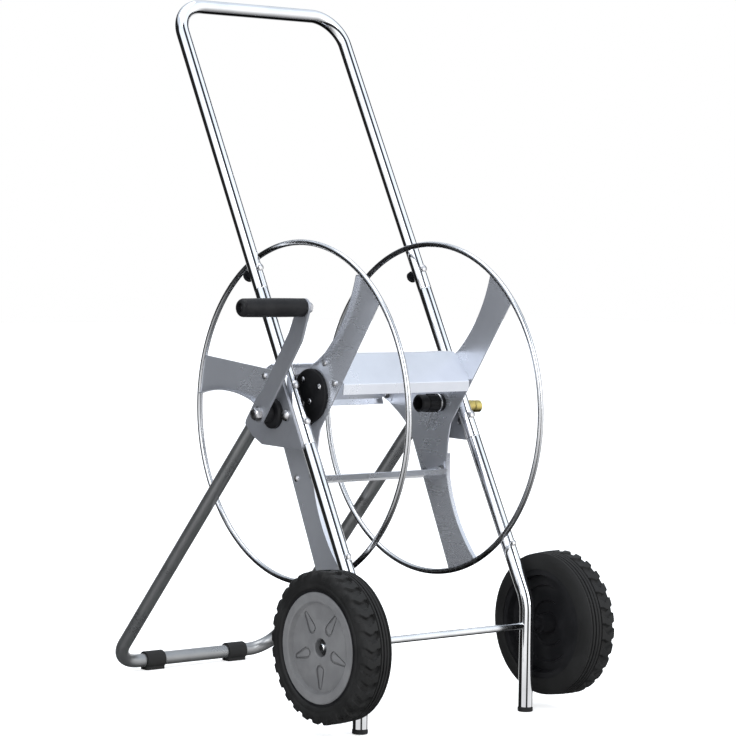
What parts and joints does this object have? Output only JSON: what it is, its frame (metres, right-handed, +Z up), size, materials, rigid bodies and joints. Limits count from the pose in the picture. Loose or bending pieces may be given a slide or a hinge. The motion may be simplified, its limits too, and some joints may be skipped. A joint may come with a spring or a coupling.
{
  "type": "garden hose reel cart",
  "caption": "Two-wheeled garden hose reel cart with leaning tube frame, push handle, rear prop, open drum between wire rims, hand crank and side water inlet.",
  "frame": {"origin": "bottom centre of the whole cart's box, on the ground it stands on", "axes": "+X across the cart towards the water inlet, the crank is on the -X side; +Y from the wheels towards the handle and rear prop; +Z up"},
  "size_m": [0.5124, 0.6948, 0.988],
  "materials": {
    "chrome_tube": "polished chrome plate",
    "chrome_rod": "polished chrome plate",
    "rim_wire": "polished chrome plate",
    "reel_sheet": "polished stainless sheet",
    "grey_tube": "satin grey coating",
    "grey_sheet": "satin grey coating",
    "zinc_fastener": "zinc plated",
    "black_fastener": "black oxide",
    "brass": "machined",
    "black_plastic": "fine grained",
    "grey_plastic": "satin",
    "tyre_rubber": "matt",
    "foot_rubber": "matt"
  },
  "bodies": {
    "root": {"axle": "chrome_rod", "axle_push_nuts": "black_fastener", "axle_spacers": "black_plastic", "crank_bearing": "black_plastic", "foot_cap_crank_side": "foot_rubber", "foot_cap_inlet_side": "foot_rubber", "handle_bolts": "zinc_fastener", "handle_tube": "chrome_tube", "handle_wing_knobs": "black_plastic", "inlet_bearing": "black_plastic", "inlet_stem": "brass", "leg_bolts": "zinc_fastener", "leg_nuts": "black_fastener", "leg_plugs": "zinc_fastener", "leg_tube_crank_side": "chrome_tube", "leg_tube_inlet_side": "chrome_tube", "middle_tube_crank_side": "chrome_tube", "middle_tube_inlet_side": "chrome_tube", "plate_rivets": "zinc_fastener", "prop_bolts": "zinc_fastener", "prop_nuts": "black_fastener", "rear_foot_crank_side": "foot_rubber", "rear_foot_inlet_side": "foot_rubber", "rear_prop_tube": "grey_tube", "side_plate_crank_side": "grey_sheet", "side_plate_inlet_side": "grey_sheet"},
    "reel": {"connector_clip": "zinc_fastener", "crank_arm": "grey_sheet", "crank_nut": "zinc_fastener", "crank_shaft": "zinc_fastener", "crank_spacer": "black_plastic", "drum_slat_front": "reel_sheet", "drum_slat_lower": "reel_sheet", "drum_slat_rear": "reel_sheet", "grip_nut": "zinc_fastener", "grip_pin": "zinc_fastener", "hose_connector": "black_plastic", "hub_flange": "black_plastic", "hub_screws": "zinc_fastener", "rim_wire_crank_side": "rim_wire", "rim_wire_inlet_side": "rim_wire", "slat_bolts": "zinc_fastener", "slat_nuts": "black_fastener", "star_plate_crank_side": "reel_sheet", "star_plate_inlet_side": "reel_sheet", "water_swivel": "black_plastic"},
    "grip": {"crank_grip": "black_plastic"},
    "wheel_crank_side": {"tyre_crank_side": "tyre_rubber", "wheel_band_crank_side": "black_plastic", "wheel_web_crank_side": "black_plastic", "wheel_cover_crank_side": "grey_plastic"},
    "wheel_inlet_side": {"tyre_inlet_side": "tyre_rubber", "wheel_band_inlet_side": "black_plastic", "wheel_web_inlet_side": "black_plastic", "wheel_cover_inlet_side": "grey_plastic"}
  },
  "joints": [
    {"name": "reel_spin", "type": "hinge", "parent": "root", "child": "reel", "pos_m": [0.03385, -0.0681, 0.4104], "axis": [1, 0, 0], "continuous": true},
    {"name": "grip_spin", "type": "hinge", "parent": "reel", "child": "grip", "pos_m": [-0.20195, -0.1626, 0.5567], "axis": [1, 0, 0], "continuous": true},
    {"name": "wheel_spin_crank_side", "type": "hinge", "parent": "root", "child": "wheel_crank_side", "pos_m": [-0.16215, -0.2474, 0.119], "axis": [1, 0, 0], "continuous": true},
    {"name": "wheel_spin_inlet_side", "type": "hinge", "parent": "root", "child": "wheel_inlet_side", "pos_m": [0.22985, -0.2474, 0.119], "axis": [1, 0, 0], "continuous": true}
  ]
}
